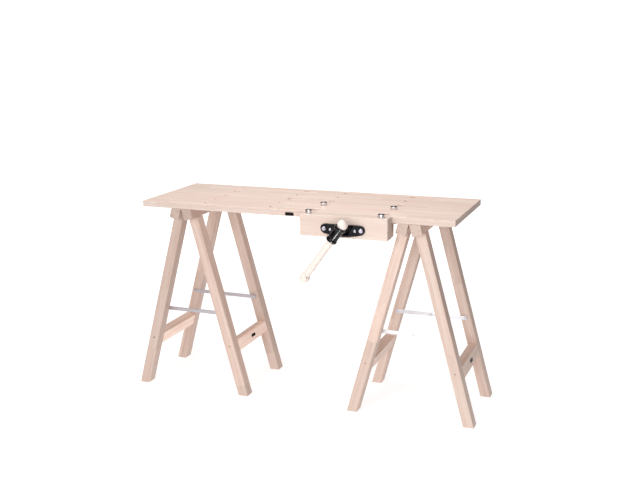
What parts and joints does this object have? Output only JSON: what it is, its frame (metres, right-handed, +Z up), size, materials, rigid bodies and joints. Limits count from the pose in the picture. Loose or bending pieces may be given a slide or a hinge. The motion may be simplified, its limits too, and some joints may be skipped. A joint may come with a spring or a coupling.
{
  "type": "toy workbench",
  "caption": "Child-size woodworking bench: a slab top with dog holes and a front screw vise, resting on hinged folding trestles with spreader bars.",
  "frame": {"origin": "on the floor, under the middle of the object's bounding box", "axes": "+X along the worktop to the vise end, -Y to the user's side with the vise, +Z up"},
  "size_m": [1.1822, 0.4948, 0.667],
  "materials": {
    "panel_birch": "planed, oiled, edge-glued",
    "frame_beech": "planed, oiled",
    "handle_beech": "turned, oiled",
    "zinc_steel": "zinc plated",
    "bright_steel": "turned, bright",
    "black_iron": "black gloss enamel on a casting",
    "black_plate": "black anodised, blank"
  },
  "bodies": {
    "bench_top": {"worktop": "panel_birch", "name_plate": "black_plate", "rear_jaw": "frame_beech", "rear_casting": "black_iron"},
    "vise_jaw": {"front_jaw": "frame_beech", "vise_flange": "black_iron", "guide_rod_left": "bright_steel", "guide_rod_right": "bright_steel", "flange_screw_left": "zinc_steel", "flange_screw_right": "zinc_steel"},
    "vise_spindle": {"vise_screw": "zinc_steel", "screw_head": "black_iron"},
    "vise_handle": {"handle_bar": "handle_beech", "handle_knob_upper": "handle_beech", "handle_knob_lower": "handle_beech"},
    "left_jaw_dog": {"jaw_dog_left": "bright_steel"},
    "right_jaw_dog": {"jaw_dog_right": "bright_steel"},
    "left_top_dog": {"top_dog_left": "bright_steel"},
    "right_top_dog": {"top_dog_right": "bright_steel"},
    "west_right_leaf": {"west_right_leg_front": "frame_beech", "west_right_leg_rear": "frame_beech", "west_right_head_rail": "frame_beech", "west_right_stretcher": "frame_beech", "west_right_hinge_leaf": "zinc_steel", "west_right_pivot_front": "zinc_steel", "west_right_pivot_rear": "zinc_steel", "west_hinge_pin": "zinc_steel", "west_plate": "black_plate"},
    "west_right_bar_front": {"west_right_spreader_front": "zinc_steel"},
    "west_right_bar_rear": {"west_right_spreader_rear": "zinc_steel"},
    "west_left_leaf": {"west_left_leg_front": "frame_beech", "west_left_leg_rear": "frame_beech", "west_left_head_rail": "frame_beech", "west_left_stretcher": "frame_beech", "west_left_hinge_leaf": "zinc_steel", "west_left_pivot_front": "zinc_steel", "west_left_pivot_rear": "zinc_steel"},
    "west_left_bar_front": {"west_left_spreader_front": "zinc_steel"},
    "west_left_bar_rear": {"west_left_spreader_rear": "zinc_steel"},
    "east_right_leaf": {"east_right_leg_front": "frame_beech", "east_right_leg_rear": "frame_beech", "east_right_head_rail": "frame_beech", "east_right_stretcher": "frame_beech", "east_right_hinge_leaf": "zinc_steel", "east_right_pivot_front": "zinc_steel", "east_right_pivot_rear": "zinc_steel", "east_hinge_pin": "zinc_steel", "east_plate": "black_plate"},
    "east_right_bar_front": {"east_right_spreader_front": "zinc_steel"},
    "east_right_bar_rear": {"east_right_spreader_rear": "zinc_steel"},
    "east_left_leaf": {"east_left_leg_front": "frame_beech", "east_left_leg_rear": "frame_beech", "east_left_head_rail": "frame_beech", "east_left_stretcher": "frame_beech", "east_left_hinge_leaf": "zinc_steel", "east_left_pivot_front": "zinc_steel", "east_left_pivot_rear": "zinc_steel"},
    "east_left_bar_front": {"east_left_spreader_front": "zinc_steel"},
    "east_left_bar_rear": {"east_left_spreader_rear": "zinc_steel"}
  },
  "joints": [
    {"name": "jaw_slide", "type": "slide", "parent": "bench_top", "child": "vise_jaw", "axis": [0, -1, 0], "range_m": [0, 0.1]},
    {"name": "screw_turn", "type": "hinge", "parent": "vise_jaw", "child": "vise_spindle", "pos_m": [0.1915, -0.2299, 0.6155], "axis": [0, -1, 0], "range_deg": [0, 7200]},
    {"name": "handle_slide", "type": "slide", "parent": "vise_spindle", "child": "vise_handle", "axis": [0.5821, 0, 0.8131], "range_m": [0, 0.1352]},
    {"name": "left_jaw_dog_lift", "type": "slide", "parent": "vise_jaw", "child": "left_jaw_dog", "axis": [0, 0, 1], "range_m": [0, 0.04]},
    {"name": "right_jaw_dog_lift", "type": "slide", "parent": "vise_jaw", "child": "right_jaw_dog", "axis": [0, 0, 1], "range_m": [0, 0.04]},
    {"name": "left_top_dog_lift", "type": "slide", "parent": "bench_top", "child": "left_top_dog", "axis": [0, 0, 1], "range_m": [0, 0.04]},
    {"name": "right_top_dog_lift", "type": "slide", "parent": "bench_top", "child": "right_top_dog", "axis": [0, 0, 1], "range_m": [0, 0.04]},
    {"name": "west_fold", "type": "hinge", "parent": "bench_top", "child": "west_right_leaf", "pos_m": [-0.384, 0.0614, 0.6296], "axis": [0, 1, 0], "range_deg": [0, 15.2]},
    {"name": "west_right_bar_front_turn", "type": "hinge", "parent": "west_right_leaf", "child": "west_right_bar_front", "pos_m": [-0.26685, 0.0614, 0.26973], "axis": [0, 1, 0], "range_deg": [0, 65.62]},
    {"name": "west_right_bar_rear_turn", "type": "hinge", "parent": "west_right_leaf", "child": "west_right_bar_rear", "pos_m": [-0.26685, 0.0614, 0.26973], "axis": [0, 1, 0], "range_deg": [0, 65.62]},
    {"name": "west_left_fold", "type": "hinge", "parent": "bench_top", "child": "west_left_leaf", "pos_m": [-0.384, 0.0614, 0.6296], "axis": [0, -1, 0], "range_deg": [0, 15.2]},
    {"name": "west_left_bar_front_turn", "type": "hinge", "parent": "west_left_leaf", "child": "west_left_bar_front", "pos_m": [-0.50115, 0.0614, 0.26973], "axis": [0, -1, 0], "range_deg": [0, 65.62]},
    {"name": "west_left_bar_rear_turn", "type": "hinge", "parent": "west_left_leaf", "child": "west_left_bar_rear", "pos_m": [-0.50115, 0.0614, 0.26973], "axis": [0, -1, 0], "range_deg": [0, 65.62]},
    {"name": "east_fold", "type": "hinge", "parent": "bench_top", "child": "east_right_leaf", "pos_m": [0.384, 0.0614, 0.6296], "axis": [0, 1, 0], "range_deg": [0, 15.2]},
    {"name": "east_right_bar_front_turn", "type": "hinge", "parent": "east_right_leaf", "child": "east_right_bar_front", "pos_m": [0.50115, 0.0614, 0.26973], "axis": [0, 1, 0], "range_deg": [0, 65.62]},
    {"name": "east_right_bar_rear_turn", "type": "hinge", "parent": "east_right_leaf", "child": "east_right_bar_rear", "pos_m": [0.50115, 0.0614, 0.26973], "axis": [0, 1, 0], "range_deg": [0, 65.62]},
    {"name": "east_left_fold", "type": "hinge", "parent": "bench_top", "child": "east_left_leaf", "pos_m": [0.384, 0.0614, 0.6296], "axis": [0, -1, 0], "range_deg": [0, 15.2]},
    {"name": "east_left_bar_front_turn", "type": "hinge", "parent": "east_left_leaf", "child": "east_left_bar_front", "pos_m": [0.26685, 0.0614, 0.26973], "axis": [0, -1, 0], "range_deg": [0, 65.62]},
    {"name": "east_left_bar_rear_turn", "type": "hinge", "parent": "east_left_leaf", "child": "east_left_bar_rear", "pos_m": [0.26685, 0.0614, 0.26973], "axis": [0, -1, 0], "range_deg": [0, 65.62]}
  ],
  "couplings": [
    {"joint": "jaw_slide", "follows": "screw_turn", "m_per_rad": 0.00079577},
    {"joint": "west_right_bar_front_turn", "follows": "west_fold", "ratio": 4.3168},
    {"joint": "west_right_bar_rear_turn", "follows": "west_fold", "ratio": 4.3168},
    {"joint": "west_left_fold", "follows": "west_fold", "ratio": 1},
    {"joint": "west_left_bar_front_turn", "follows": "west_fold", "ratio": 4.3168},
    {"joint": "west_left_bar_rear_turn", "follows": "west_fold", "ratio": 4.3168},
    {"joint": "east_right_bar_front_turn", "follows": "east_fold", "ratio": 4.3168},
    {"joint": "east_right_bar_rear_turn", "follows": "east_fold", "ratio": 4.3168},
    {"joint": "east_left_fold", "follows": "east_fold", "ratio": 1},
    {"joint": "east_left_bar_front_turn", "follows": "east_fold", "ratio": 4.3168},
    {"joint": "east_left_bar_rear_turn", "follows": "east_fold", "ratio": 4.3168}
  ]
}
